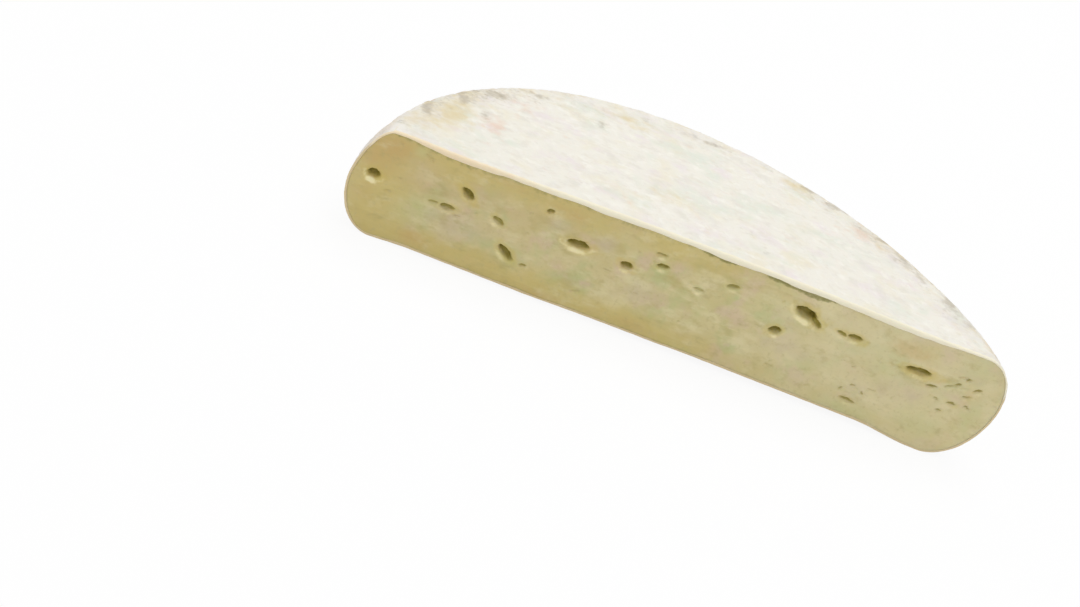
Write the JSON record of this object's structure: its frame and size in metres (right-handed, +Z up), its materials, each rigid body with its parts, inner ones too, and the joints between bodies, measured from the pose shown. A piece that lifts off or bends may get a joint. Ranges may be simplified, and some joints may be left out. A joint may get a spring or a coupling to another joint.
{
  "type": "half wheel of washed-rind cheese",
  "caption": "Half of a low round washed-rind cheese, lying flat, with a pale bloomy rind and a smooth cut face opened by small eyes.",
  "frame": {"origin": "under the middle of the half's box, on the plane that it lies on", "axes": "+X along the knife cut, +Y from the cut face to the round back, +Z up"},
  "size_m": [0.1382, 0.0632, 0.0247],
  "materials": {
    "rind": "dry bloomy washed rind, off-white over orange",
    "paste": "soft supple cut cheese, satin, buff yellow"
  },
  "bodies": {
    "root": {"half_wheel": "rind"}
  },
  "joints": []
}
